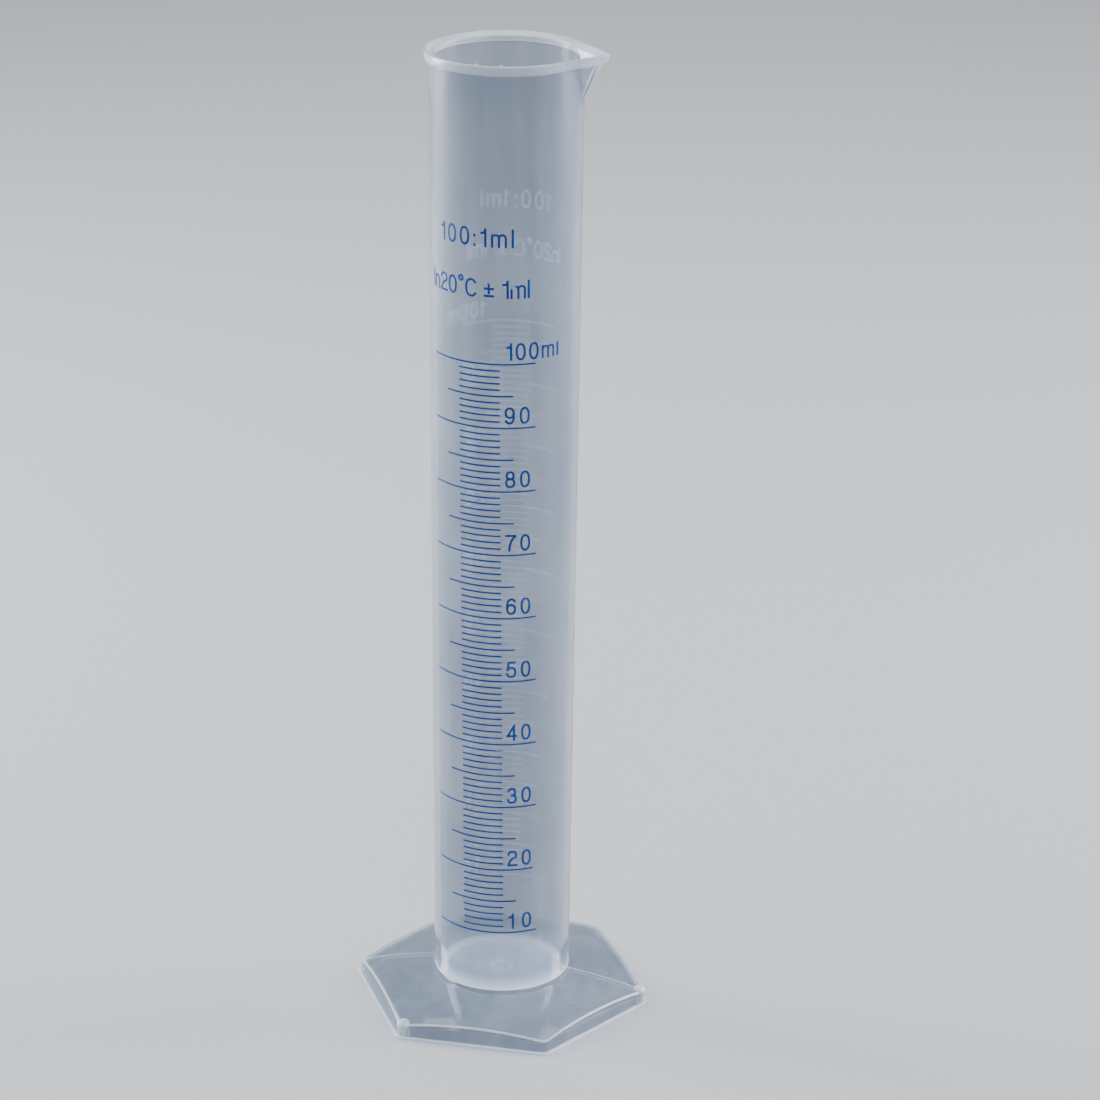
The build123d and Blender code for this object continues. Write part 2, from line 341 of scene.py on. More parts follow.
class Effects:
    """The shared surface effects, each a node group that is built once and placed in each material."""

    def __init__(self) -> None:
        """Builds the groups."""
        self.grain = self.build_grain()
        self.marks = self.build_marks()
        self.dust = self.build_dust()

    def build_grain(self) -> bpy.types.NodeTree:
        """What moulding leaves in plastic: soft clouds, flow lines along the part, and a pebbled skin.

        Returns:
            The group, which gives a tone from 0 to 1 and a height.
        """
        group, wiring, given, out = new_group(
            "moulded_grain", {"Position": None, "Clouds": 30.0, "Pebbles": 900.0}, ("Tone", "Height")
        )
        clouds = wiring.noise(given["Position"], given["Clouds"], 3.0)
        flow = wiring.noise(given["Position"], given["Clouds"], 5.0, (9.0, 9.0, 0.6))
        pebbles = wiring.noise(given["Position"], given["Pebbles"], 2.0)
        waves = wiring.noise(given["Position"], given["Clouds"], 1.0, (3.0, 3.0, 1.2))
        tone = wiring.maths("MULTIPLY_ADD", flow, 0.45, wiring.maths("MULTIPLY", clouds, 0.55))
        wiring.feed(out.inputs["Tone"], tone)
        skin = wiring.maths("MULTIPLY_ADD", pebbles, 0.03, waves)
        wiring.feed(out.inputs["Height"], wiring.maths("MULTIPLY_ADD", flow, 0.35, skin))
        return group

    def build_marks(self) -> bpy.types.NodeTree:
        """Handling marks: hair scratches that run mostly upright or round, and soft scuffs.

        Returns:
            The group, which gives a mask from 0 to the amount.
        """
        group, wiring, given, out = new_group("handling_marks", {"Position": None, "Amount": 0.5}, ("Mask",))
        upright = wiring.noise(given["Position"], 260.0, 1.0, (4.0, 4.0, 0.22))
        level = wiring.noise(given["Position"], 240.0, 1.0, (0.3, 0.3, 5.0))
        patch = wiring.ramp(wiring.noise(given["Position"], 55.0, 4.0), 0.5, 0.72)
        hairs = [
            wiring.ramp(wiring.maths("ABSOLUTE", wiring.maths("SUBTRACT", hair, 0.5)), 0.0, 0.012, 1.0, 0.0)
            for hair in (upright, level)
        ]
        scratches = wiring.maths("MULTIPLY", wiring.maths("MAXIMUM", *hairs), patch)
        scuffs = wiring.maths("MULTIPLY", patch, wiring.noise(given["Position"], 700.0, 4.0))
        mask = wiring.maths("MAXIMUM", scratches, wiring.maths("MULTIPLY", scuffs, 0.4))
        wiring.feed(out.inputs["Mask"], wiring.maths("MULTIPLY", mask, given["Amount"]))
        return group

    def build_dust(self) -> bpy.types.NodeTree:
        """Fine specks of dust, thickest on faces that look up.

        Returns:
            The group, which gives a mask from 0 to 1.
        """
        group, wiring, given, out = new_group("dust_specks", {"Position": None, "Density": 0.5}, ("Mask",))
        cells = wiring.add("TexVoronoi", {"Vector": given["Position"], "Scale": 420.0, "Randomness": 1.0})
        pick = wiring.noise(given["Position"], 170.0, 1.0)
        size = wiring.ramp(wiring.maths("ADD", pick, given["Density"]), 0.95, 1.5, 0.0, 0.3)
        near = wiring.maths("LESS_THAN", cells.outputs["Distance"], size)
        upward = wiring.add("SeparateXYZ", {0: wiring.add("NewGeometry").outputs["Normal"]}).outputs["Z"]
        settled = wiring.ramp(upward, -0.2, 0.8, 0.25, 1.0)
        wiring.feed(out.inputs["Mask"], wiring.maths("MULTIPLY", near, settled))
        return group


class Surface:
    """One material's nodes: its Principled shader, its wiring, and its Object coordinates."""

    def __init__(self, name: str) -> None:
        """Starts an empty material with a Principled shader."""
        self.material = bpy.data.materials.new(name)
        self.material.use_nodes = True
        tree = self.material.node_tree
        tree.nodes.clear()
        self.wiring = Wiring(tree)
        self.shader = self.wiring.add("BsdfPrincipled")
        self.output = self.wiring.add("OutputMaterial", {"Surface": self.shader.outputs[0]})
        self.position = self.wiring.add("TexCoord").outputs["Object"]

    def effect(self, group: bpy.types.NodeTree, **values: float) -> bpy.types.bpy_prop_collection:
        """Places a shared effect in the material.

        Args:
            group: The effect's node group.
            values: Plain values for its inputs, by name.

        Returns:
            The node's outputs.
        """
        node = self.wiring.add("Group", node_tree=group)
        self.wiring.feed(node.inputs["Position"], self.position)
        for name, value in values.items():
            node.inputs[name].default_value = value
        return node.outputs

    def bump(self, height: Socket, strength: float, distance: float) -> None:
        """Lets a height raise and lower the surface.

        Args:
            height: The height, from 0 to 1.
            strength: How much of it shows.
            distance: What a height of 1 is, in metres.
        """
        inputs = {"Height": height, "Strength": strength, "Distance": distance}
        self.wiring.feed(self.shader.inputs["Normal"], self.wiring.add("Bump", inputs).outputs[0])

    def set(self, **inputs: Value) -> None:
        """Sets or joins the shader's inputs, with underscores for the spaces in their names."""
        for name, value in inputs.items():
            self.wiring.feed(self.shader.inputs[name.replace("_", " ")], value)

    def light_through(self, tint: tuple) -> None:
        """Lets lamps shine through the plastic instead of leaving what is behind it in the dark.

        Args:
            tint: What is left of the light behind one face.
        """
        path = self.wiring.add("LightPath").outputs["Is Shadow Ray"]
        clear = self.wiring.add("BsdfTransparent", {"Color": tint}).outputs[0]
        mix = self.wiring.add("MixShader", {0: path, 1: self.shader.outputs[0], 2: clear}).outputs[0]
        self.wiring.feed(self.output.inputs["Surface"], mix)


# ------------------------------------------------------------------ finishes


@dataclass(frozen=True)
class MouldedPlastic:
    """Unpigmented plastic: part of the light goes through and the rest is scattered back, milky.

    The colour wanders with the grain's tone, and marks and dust whiten and dull it. So does stress in the
    plastic: along the mould's parting line, round the gate, and in the thick heel of the tube.
    """

    name: str
    milk: tuple            # colour where the plastic is cloudiest
    clear: tuple           # colour where it is clearest
    transmission: float
    roughness: float
    grain: float           # how strongly the skin is pebbled
    marks: float
    dust: float
    shadow: tuple          # what is left of a lamp's light behind one face
    heel: float = 0.0      # how white the tube's heel is
    heel_span: tuple = (7.0 * MM, 11.0 * MM)
    seam_width: float = 0.4 * MM
    floor_radius: float = 13.0 * MM   # nearer the axis, neither seam nor heel whitens
    gate_ring: float = 2.3 * MM
    gate_blur: tuple = (0.1 * MM, 0.5 * MM)
    whitened: tuple = (0.95, 0.965, 0.985, 1.0)
    refraction: float = 1.49
    relief: float = 0.12 * MM         # height of the grain's bumps

    def stress(self, surface: Surface) -> Socket:
        """How white stress has made the plastic, from 0 to 1.

        The parting line is where |y| is small, the gate leaves a ring round the axis, and the heel is the
        wall's foot, which fades on its way up.

        Args:
            surface: The material's nodes.

        Returns:
            The whiteness.
        """
        wiring = surface.wiring
        place = wiring.add("SeparateXYZ", {0: surface.position}).outputs
        flat = wiring.add("CombineXYZ", {0: place["X"], 1: place["Y"]}).outputs[0]
        radius = wiring.add("VectorMath", {0: flat}, operation="LENGTH").outputs["Value"]
        from_seam = wiring.maths("ABSOLUTE", place["Y"])
        seam = wiring.ramp(from_seam, 0.4 * self.seam_width, self.seam_width, 0.8, 0.0)
        heel = wiring.ramp(place["Z"], *self.heel_span, self.heel, 0.0)
        past_floor = wiring.maths("GREATER_THAN", radius, self.floor_radius)
        outer = wiring.maths("MULTIPLY", wiring.maths("MAXIMUM", seam, heel), past_floor)
        from_ring = wiring.maths("ABSOLUTE", wiring.maths("SUBTRACT", radius, self.gate_ring))
        gate = wiring.ramp(from_ring, *self.gate_blur, 1.0, 0.0)
        return wiring.maths("MAXIMUM", outer, gate)

    def build(self, effects: Effects) -> bpy.types.Material:
        """The finish as a material.

        Args:
            effects: The shared effects.

        Returns:
            The material.
        """
        surface = Surface(self.name)
        wiring = surface.wiring
        grain = surface.effect(effects.grain, Clouds=34.0, Pebbles=1500.0)
        marks = surface.effect(effects.marks, Amount=self.marks)["Mask"]
        dust = surface.effect(effects.dust, Density=self.dust)["Mask"]
        tone = wiring.ramp(grain["Tone"], 0.36, 0.64)
        worn = wiring.maths("MAXIMUM", marks, dust)
        white = wiring.maths("MAXIMUM", worn, self.stress(surface))
        colour = wiring.blend(white, wiring.blend(tone, self.clear, self.milk), self.whitened)
        rough = wiring.maths("MULTIPLY_ADD", tone, 0.07, self.roughness)
        surface.set(
            Base_Color=colour,
            Roughness=wiring.maths("MULTIPLY_ADD", worn, 0.3, rough),
            IOR=self.refraction,
            Transmission_Weight=self.transmission,
        )
        surface.bump(wiring.maths("MULTIPLY_ADD", marks, -0.15, grain["Height"]), self.grain, self.relief)
        surface.light_through(self.shadow)
        return surface.material


@dataclass(frozen=True)
class PrintedInk:
    """Screen-printed ink: blue where it faces out, pale where it is seen through the plastic from inside, and
    there it also has a painted glow.

    The ink is a little uneven in tone, and it is rubbed away in a few places.
    """

    name: str = "blue_screen_ink"
    blue: tuple = (0.0, 0.032, 0.20, 1.0)
    thin_blue: tuple = (0.001, 0.06, 0.30, 1.0)
    underside: tuple = (0.97, 0.95, 0.96, 1.0)
    glow: float = 1.1            # painted glow: emission on the ink's underside, standing in for light that the milky wall scatters back
    worn_clear: float = 0.92     # how clear the ink is where it is gone
    relief: float = 0.03 * MM    # height of the grain's bumps

    def seen_from_inside(self, surface: Surface) -> Socket:
        """Which faces look at the tube's axis.

        The position, with its height left out, points away from the axis, so its dot product with such a
        face's normal is negative.

        Args:
            surface: The material's nodes.

        Returns:
            1 on those faces, and 0 elsewhere.
        """
        wiring = surface.wiring
        level = {0: surface.position, 1: (1.0, 1.0, 0.0)}
        outward = wiring.add("VectorMath", level, operation="MULTIPLY").outputs[0]
        normal = wiring.add("NewGeometry").outputs["Normal"]
        facing = wiring.add("VectorMath", {0: outward, 1: normal}, operation="DOT_PRODUCT").outputs["Value"]
        return wiring.maths("LESS_THAN", facing, -0.002)

    def worn_away(self, surface: Surface, marks: Socket, spots: list) -> Socket:
        """Where the ink is gone: rubbed patches, pinholes, scratches and single spots with ragged edges.

        Args:
            surface: The material's nodes.
            marks: The handling marks.
            spots: Places where the ink is worn off, each with its radius.

        Returns:
            How much is gone, from 0 to 1.
        """
        wiring = surface.wiring
        rubbed = wiring.ramp(wiring.noise(surface.position, 210.0, 5.0), 0.70, 0.74)
        pinholes = wiring.ramp(wiring.noise(surface.position, 2600.0, 1.0), 0.74, 0.78)
        gone = wiring.maths("MAXIMUM", rubbed, wiring.maths("MAXIMUM", pinholes, marks))
        ragged = wiring.noise(surface.position, 1500.0, 2.0)
        for spot, radius in spots:
            ends = {0: surface.position, 1: spot}
            away = wiring.add("VectorMath", ends, operation="DISTANCE").outputs["Value"]
            away = wiring.maths("MULTIPLY_ADD", ragged, 0.5 * radius, away)
            hole = wiring.ramp(away, 1.1 * radius, 1.3 * radius, 1.0, 0.0)
            gone = wiring.maths("MAXIMUM", gone, hole)
        return gone

    def build(self, effects: Effects, spots: list) -> bpy.types.Material:
        """The finish as a material.

        Args:
            effects: The shared effects.
            spots: Places where the ink is worn off, each with its radius.

        Returns:
            The material.
        """
        surface = Surface(self.name)
        wiring = surface.wiring
        grain = surface.effect(effects.grain, Clouds=160.0, Pebbles=5200.0)
        marks = surface.effect(effects.marks, Amount=1.0)["Mask"]
        tone = wiring.ramp(grain["Tone"], 0.38, 0.66)
        inner = self.seen_from_inside(surface)
        gone = self.worn_away(surface, marks, spots)
        surface.set(
            Base_Color=wiring.blend(inner, wiring.blend(tone, self.blue, self.thin_blue), self.underside),
            Roughness=wiring.maths("MULTIPLY_ADD", tone, 0.2, 0.38),
            Alpha=wiring.maths("SUBTRACT", 1.0, wiring.maths("MULTIPLY", gone, self.worn_clear)),
            Specular_IOR_Level=0.25,
            # Emission on the inner faces paints a glow on the ink's underside, in place of light scattered
            # back by the milky wall.
            Emission_Color=wiring.blend(inner, (0.0, 0.0, 0.0, 1.0), self.underside),
            Emission_Strength=self.glow,
        )
        surface.bump(grain["Height"], 0.4, self.relief)
        return surface.material


@dataclass(frozen=True)
class StudioPaper:
    """The pale, plain paper that the cylinder stands on."""

    name: str = "studio_paper"
    pale: tuple = (0.47, 0.48, 0.50, 1.0)
    paler: tuple = (0.50, 0.51, 0.53, 1.0)

    def build(self) -> bpy.types.Material:
        """The finish as a material, with a faint paper grain."""
        surface = Surface(self.name)
        fibres = surface.wiring.noise(surface.position, 500.0, 3.0)
        surface.set(Base_Color=surface.wiring.blend(fibres, self.pale, self.paler), Roughness=0.85)
        surface.bump(fibres, 0.1, 0.1 * MM)
        return surface.material


# ------------------------------------------------------------------ tube


@dataclass
class GraduatedTube:
    """The tube with its floor, rim bead and V-shaped spout, one closed shell round the axis."""

    rim_height: float
    bead_bottom: float
    floor_top: float
    floor_bottom: float
    low_radius: float            # outside at the top of the floor
    high_radius: float           # outside at the bottom of the bead
    wall: float
    spout_tip: float             # from the axis to the bead's tip over the spout
    spout_bottom: float
    bead_reach: float
    spout_wall: float = 1.15 * MM
    spout_half_angle: float = 27.0
    heel_fillet: float = 1.6 * MM
    gate_radius: float = 2.5 * MM
    gate_depth: float = 0.5 * MM
    sink_depth: float = 0.3 * MM
    sink_softness: float = 0.12 * MM
    rim_dish: float = 0.75 * MM  # how much lower the rim's inner edge is
    seam_height: float = 0.1 * MM
    seam_width: float = 0.22 * MM
    crown_round: float = 0.5 * MM
    small_round: float = 0.3 * MM
    crease: float = 0.25 * MM    # how softly the spout's sides run into the round tube
    nose: float = 0.035          # how blunt the V's tip is
    inset: float = 0.01 * MM     # how far the shell stays inside the nodes that it stands for
    columns: int = 384
    # Nicks left on the rim's inner edge: angle in degrees, height, and half width along the rim.
    nicks: tuple = ((-101.0, 0.9 * MM, 0.6 * MM), (-81.0, 0.9 * MM, 0.65 * MM), (-47.0, 0.6 * MM, 0.5 * MM))

    @classmethod
    def from_frame(cls) -> "GraduatedTube":
        """The tube at the sizes of the CAD nodes that it stands for."""
        bead, floor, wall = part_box("rim_bead"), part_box("tube_floor"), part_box("tube_wall")
        mouth = next(mount for mount in frame["record"]["mounts"] if mount["name"] == "mouth")
        return cls(
            rim_height=bead[1].z,
            bead_bottom=bead[0].z,
            floor_top=floor[1].z,
            floor_bottom=floor[0].z,
            low_radius=floor[1].y,
            high_radius=wall[1].y,
            wall=wall[1].y - mouth["dims"]["r_mm"] * MM,
            spout_tip=bead[1].x,
            spout_bottom=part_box("pour_spout")[0].z,
            bead_reach=bead[1].y - wall[1].y,
        )

    @property
    def sink_rows(self) -> np.ndarray:
        """Distances of the rows across the sink's step, as shares of the gate's radius."""
        return np.concatenate([np.linspace(1.3, 0.8, 11), [0.5, 0.2]])

    @property
    def taper(self) -> float:
        """How much the radius grows for each unit of height."""
        return (self.high_radius - self.low_radius) / (self.bead_bottom - self.floor_top)

    def outside(self, height: np.ndarray) -> np.ndarray:
        """Outside radius of the round tube at each height."""
        return self.low_radius + self.taper * (height - self.floor_top)

    def outline(
        self, angles: np.ndarray, height: np.ndarray, round_step: np.ndarray, spout_step: np.ndarray
    ) -> np.ndarray:
        """Distance from the axis to the shell's surface.

        Where the surface is round, it is the tube's radius plus a step. The spout's two flat sides make a V
        in plan, whose tip leans back on its way down. A ray at angle a meets the V at
        tip * m / (|sin a| + m cos a), where m is the V's slope. |sin a| is rounded off near zero, which
        blunts the tip. Past the point where the V's side is nearest the axis, the V stays at that distance,
        inside the round tube. The surface is the larger of the two. Where they differ by less than the
        crease's size, the surface is raised by the square of what is left over four times that size, which
        rounds the crease.

        Args:
            angles: Angles of the columns.
            height: Height of each row.
            round_step: How far each row lies outside the tube's own surface, or inside it if negative.
            spout_step: The same on the spout's sides.

        Returns:
            Distances, rows by columns.
        """
        height, round_step, spout_step = (row[:, None] for row in (height, round_step, spout_step))
        rim = self.outside(self.rim_height)
        half_mouth = rim * sin(radians(self.spout_half_angle))
        chord = rim * cos(radians(self.spout_half_angle))
        reach = self.spout_tip
        for _ in range(4):
            slope = half_mouth / (reach - chord)
            reach = self.spout_tip - self.bead_reach * sqrt(1.0 + slope**-2)
        lean = (reach - rim) / (self.rim_height - self.spout_bottom)
        tip = reach - lean * (self.rim_height - height) + spout_step * sqrt(1.0 + slope**-2)
        widest = sqrt(1.0 + slope**2)
        spread = np.sqrt(np.sin(angles) ** 2 + self.nose**2) - self.nose + slope * np.cos(angles)
        spread = np.where(np.cos(angles) * widest > 1.0, spread, widest)
        veed = np.maximum(tip, 0.0) * slope / spread
        rounded = self.outside(height) + round_step
        near = np.maximum(self.crease - np.abs(rounded - veed), 0.0)
        return np.maximum(rounded, veed) + near**2 / (4.0 * self.crease) - self.inset

    def profile(self) -> tuple:
        """The wall's section, from the floor's underside up the outside, over the rim and down inside.

        Returns:
            Heights, steps from the round tube's outside, and the same steps on the spout.
        """
        low, top, bead = self.floor_bottom, self.rim_height, self.bead_reach
        edge, soft = self.crown_round, self.small_round
        inner = self.wall
        lip = top - self.rim_dish
        climb = np.concatenate([
            [low, low + 0.3 * MM],
            np.linspace(low + 2.5 * MM, self.spout_bottom - 4.0 * MM, 46),
            np.linspace(self.spout_bottom - 3.0 * MM, self.bead_bottom - 0.45 * MM, 26),
        ])
        outer = np.stack([np.zeros_like(climb), climb], axis=1)
        under = arc((soft, self.bead_bottom - soft), soft, 180.0, 90.0, 5)
        side = arc((bead - soft, self.bead_bottom + soft), soft, -90.0, 0.0, 5)
        crown = arc((bead - edge, top - edge), edge, 0.0, 100.0, 8)
        inside_edge = arc((-inner + soft, lip - 0.25 * MM), soft, 75.0, 180.0, 6)
        flat = crown[-1] + np.linspace(0.12, 0.9, 6)[:, None] * (inside_edge[0] - crown[-1])
        fall = np.concatenate([
            np.linspace(lip - 0.7 * MM, self.spout_bottom - 3.0 * MM, 26),
            np.linspace(self.spout_bottom - 6.0 * MM, self.floor_top + self.heel_fillet + 0.3 * MM, 34),
        ])
        bore = np.stack([np.full_like(fall, -inner), fall], axis=1)
        section = np.concatenate([outer, under, side, crown, flat, inside_edge, bore])
        step, height = section.T
        thinning = np.where(step < 0.0, (inner - self.spout_wall) * -step / inner, 0.0)
        return height, step, step + thinning

    def with_seam(self, radius: np.ndarray, angles: np.ndarray, plain: np.ndarray) -> np.ndarray:
        """Adds the mould's parting line, a fine ridge up both sides: a bell curve across the line y = 0.

        Args:
            radius: Distance from the axis, rows by columns.
            angles: Angles of the columns.
            plain: Which rows lie on the plain wall.

        Returns:
            The distances with the ridge.
        """
        across = radius * np.sin(angles)
        ridge = self.seam_height * np.exp(-((across / self.seam_width) ** 2))
        return radius + np.where(plain[:, None], ridge, 0.0)

    def with_nicks(self, height: np.ndarray, step: np.ndarray, angles: np.ndarray) -> np.ndarray:
        """Adds low bell-shaped nicks where the rim's flat top meets the bore, no higher than the rim.

        Args:
            height: Height of each row.
            step: How far each row lies outside the tube's own surface.
            angles: Angles of the columns.

        Returns:
            Heights, rows by columns.
        """
        level = np.repeat(height[:, None], self.columns, axis=1)
        at_edge = np.exp(-(((step + self.wall) / (0.5 * MM)) ** 2)) * (height > self.rim_height - 1.2 * MM)
        for turn, tall, half_width in self.nicks:
            along = (np.mod(angles - radians(turn) + pi, 2.0 * pi) - pi) * self.high_radius
            level = level + tall * at_edge[:, None] * np.exp(-((along / half_width) ** 2))[None, :]
        return np.minimum(level, self.rim_height)

    def underside(self) -> np.ndarray:
        """The floor's section from below: the gate's round recess, and out to the wall."""
        gate, deep, soft = self.gate_radius, self.floor_bottom + self.gate_depth, 0.2 * MM
        return np.concatenate([
            [[0.4 * gate, deep], [0.8 * gate, deep]],
            arc((gate - soft, deep - soft), soft, 90.0, 0.0, 4),
            arc((gate + soft, self.floor_bottom + soft), soft, 180.0, 270.0, 4),
            [[2.0 * gate, self.floor_bottom], [4.0 * gate, self.floor_bottom]],
            [[self.outside(self.floor_bottom) - 0.3 * MM, self.floor_bottom]],
        ])

    def floor(self) -> np.ndarray:
        """The floor's section from above: the fillet round it, and a sink over the gate's recess.

        The sink is a smooth step: its depth over 1 + exp(distance past the gate's edge / its softness).
        """
        bore = self.outside(self.floor_top) - self.wall
        round_edge = self.heel_fillet
        fillet = arc((bore - round_edge, self.floor_top + round_edge), round_edge, 0.0, -90.0, 9)
        flat = np.linspace(bore - round_edge, self.gate_radius + 1.5 * MM, 6)[1:]
        inward = np.concatenate([flat, self.gate_radius * self.sink_rows])
        sink = self.sink_depth / (1.0 + np.exp((inward - self.gate_radius) / self.sink_softness))
        return np.concatenate([fillet, np.stack([inward, self.floor_top - sink], axis=1)])

    def thick_faces(self, mesh: bpy.types.Mesh) -> np.ndarray:
        """Which faces lie where the plastic is thick: the rim bead, the floor and the spout's tip.

        Args:
            mesh: The shell's mesh.

        Returns:
            1 for each such face, and 0 for the others.
        """
        middles = np.zeros(len(mesh.polygons) * 3)
        mesh.polygons.foreach_get("center", middles)
        x, y, z = middles.reshape(-1, 3).T
        tip = (np.abs(y) < 0.9 * MM) & (x > self.outside(z) + 0.3 * MM)
        thick = (z > self.bead_bottom - 0.05 * MM) | (z < self.floor_top + 1.0 * MM) | tip
        return thick.astype(np.int32)

    def build(self, finishes: list) -> bpy.types.Object:
        """Builds the shell: under the floor, up the wall, over the rim, down the bore and over the floor.

        Args:
            finishes: The wall's material and the thick edges' material.

        Returns:
            The piece.
        """
        angles = ring_spacing(self.columns, 2, 0.8)
        height, step, spout_step = self.profile()
        plain = (step == 0.0) & (height < self.bead_bottom - 0.5 * MM)
        radius = self.with_seam(self.outline(angles, height, step, spout_step), angles, plain)
        level = self.with_nicks(height, step, angles)
        sections = (self.underside(), self.floor())
        below, above = (np.repeat(section[:, :, None], self.columns, axis=2) for section in sections)
        every_radius = np.concatenate([below[:, 0], radius, above[:, 0]])
        every_height = np.concatenate([below[:, 1], level, above[:, 1]])
        vertices = round_surface(angles, every_radius, every_height)
        poles = (
            (0.0, 0.0, self.floor_bottom + self.gate_depth),
            (0.0, 0.0, self.floor_top - self.sink_depth),
        )
        mesh = new_mesh("tube_shell", *capped(vertices, self.columns, poles))
        mesh.polygons.foreach_set("material_index", self.thick_faces(mesh))
        nodes = ("tube_wall", "tube_floor", "rim_bead", "pour_spout")
        return place("tube_shell", mesh, finishes, "milky_tube_plastic", nodes)


# ------------------------------------------------------------------ foot


@dataclass
class HexagonalFoot:
    """The six-sided foot: a domed plate with a rounded edge, a leaning skirt and a bottom lip."""

    heel_radius: float
    crown_height: float          # where the top meets the tube
    skirt_apothem: float         # from the axis to the middle of a skirt side, at the ground
    lip_apothem: float
    lip_height: float
    dome_radius: float = 120.0 * MM
    thickness: float = 1.8 * MM
    skirt_wall: float = 1.4 * MM
    draft: float = 6.0
    edge_round: float = 0.75 * MM
    edge_bend: float = 75.0      # degrees that the top edge turns through
    soft: float = 0.2 * MM       # radius of the lip's small rounds
    seam_height: float = 0.09 * MM
    seam_width: float = 0.17 * MM
    sharpness: float = 66.0      # the larger, the sharper the six corners
    columns: int = 480

    @classmethod
    def from_frame(cls, tube: GraduatedTube) -> "HexagonalFoot":
        """The foot at the sizes of the CAD nodes that it stands for."""
        plate, skirt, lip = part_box("foot_plate"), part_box("foot_skirt"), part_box("foot_lip")
        return cls(
            heel_radius=float(tube.outside(plate[1].z)),
            crown_height=plate[1].z,
            skirt_apothem=skirt[1].y,
            lip_apothem=lip[1].y,
            lip_height=lip[1].z,
        )

    def dome(self, radius: np.ndarray) -> np.ndarray:
        """Height of the top at a distance from the axis: part of a ball."""
        middle = self.crown_height - sqrt(self.dome_radius**2 - self.heel_radius**2)
        return middle + np.sqrt(self.dome_radius**2 - radius**2)

    @property
    def angles(self) -> np.ndarray:
        """Angles of the columns, crowded at the six corners."""
        return ring_spacing(self.columns, 6, 0.85)

    @property
    def reach(self) -> np.ndarray:
        """Distance from the axis to a hexagon at each column, where its sides' middles are one unit away.

        A hexagon is where the largest of |cos| of the angles to its three pairs of sides is reached. A high
        power mean of the three, in place of the largest, rounds its corners a little.
        """
        sides = np.radians([30.0, 90.0, 150.0])[:, None]
        spread = (np.abs(np.cos(self.angles - sides)) ** self.sharpness).sum(axis=0)
        return spread ** (-1.0 / self.sharpness)

    def skirt(self, height: Union[float, np.ndarray], inset: float = 0.0) -> np.ndarray:
        """Distance from the axis to the leaning skirt, or to a face inset from it.

        Args:
            height: One height, or one for each column.
            inset: How far the face lies inside the skirt.

        Returns:
            Distances, one for each column.
        """
        return (self.skirt_apothem - inset - tan(radians(self.draft)) * height) * self.reach

    def top_edge(self) -> np.ndarray:
        """Height at which skirt and dome meet at each column, found by going from one to the other."""
        edge = np.full(self.columns, 3.0 * MM)
        for _ in range(5):
            edge = self.dome(self.skirt(edge))
        return edge

    def lip_rows(self) -> list:
        """Rows from under the skirt out under the lip, up its side and back in to the skirt; those under the
        lip and up its outer side carry a painted highlight.
        """
        soft, reach = self.soft, self.reach
        rows = [(self.skirt(0.0, self.skirt_wall), 0.0, True), (self.skirt(0.0, soft), 0.0, True)]
        for out, height in arc((0.0, soft), soft, -90.0, 0.0, 5):
            rows.append(((self.lip_apothem - soft + out) * reach, height, True))
        for out, height in arc((0.0, self.lip_height - soft), soft, 0.0, 90.0, 5):
            rows.append(((self.lip_apothem - soft + out) * reach, height, True))
        for out, height in arc((soft, self.lip_height + soft), soft, 270.0, 180.0, 5):
            rows.append((self.skirt(self.lip_height) + out * reach, height, False))
        return rows

    def edge_rows(self, rim: np.ndarray, pivot: np.ndarray) -> list:
        """Rows up the skirt and round the top edge, which gets a painted highlight where it bends most.

        Args:
            rim: Distance from the axis to where skirt and dome would meet.
            pivot: Height at which the rounding starts.

        Returns:
            The rows.
        """
        rows = []
        start = self.lip_height + self.soft
        for share in np.linspace(0.12, 1.0, 7):
            height = start + share * (pivot - self.lip_height - self.soft)
            rows.append((self.skirt(height), height, False))
        lean_in, bend = rim - self.skirt(pivot), radians(self.edge_bend)
        for turn in np.linspace(0.0, bend, 11)[1:]:
            out = rim - self.edge_round * (1.0 - cos(turn)) - lean_in * (1.0 - turn / bend)
            # The middle of the bend gets the paler copy of the plastic: a painted highlight.
            rows.append((out, pivot + self.edge_round * sin(turn), 0.25 < turn / bend < 0.85))
        return rows

    def dome_rows(self, start: np.ndarray, close: float) -> list:
        """Rows in over the dome, with the parting line across it and a small fillet up to the tube.

        Args:
            start: Distance from the axis to the end of the rounded edge.
            close: Distance from the axis to the tube.

        Returns:
            The rows.
        """
        rows, highest = [], self.crown_height + 0.3 * MM
        for share in np.concatenate([[0.03], np.linspace(0.08, 0.97, 22), [0.985, 0.995, 1.0]]):
            out = start + share * (close - start)
            seam = self.seam_height * np.exp(-((out * np.sin(self.angles) / self.seam_width) ** 2))
            fillet = 0.35 * MM * np.exp(-(out - close) / (0.3 * MM))
            rows.append((out, np.minimum(self.dome(out) + seam + fillet, highest), False))
        return rows

    def hollow_rows(self, edge: np.ndarray, close: float) -> list:
        """Rows down by the tube, out under the plate and down the skirt's inner face.

        Args:
            edge: Height at which skirt and dome meet.
            close: Distance from the axis to the tube.

        Returns:
            The rows.
        """
        hub = np.full(self.columns, close)
        rows = [
            (hub, self.crown_height - 0.3 * MM, False),
            (hub, self.dome(hub) - self.thickness + 0.3 * MM, False),
        ]
        corner = self.skirt(edge - self.thickness, self.skirt_wall)
        for share in np.linspace(0.0, 0.97, 14):
            out = close + share * (corner - close)
            rows.append((out, self.dome(out) - self.thickness, False))
        for share in np.linspace(0.06, 0.94, 6):
            height = (1.0 - share) * (self.dome(corner) - self.thickness)
            rows.append((self.skirt(height, self.skirt_wall), height, False))
        return rows

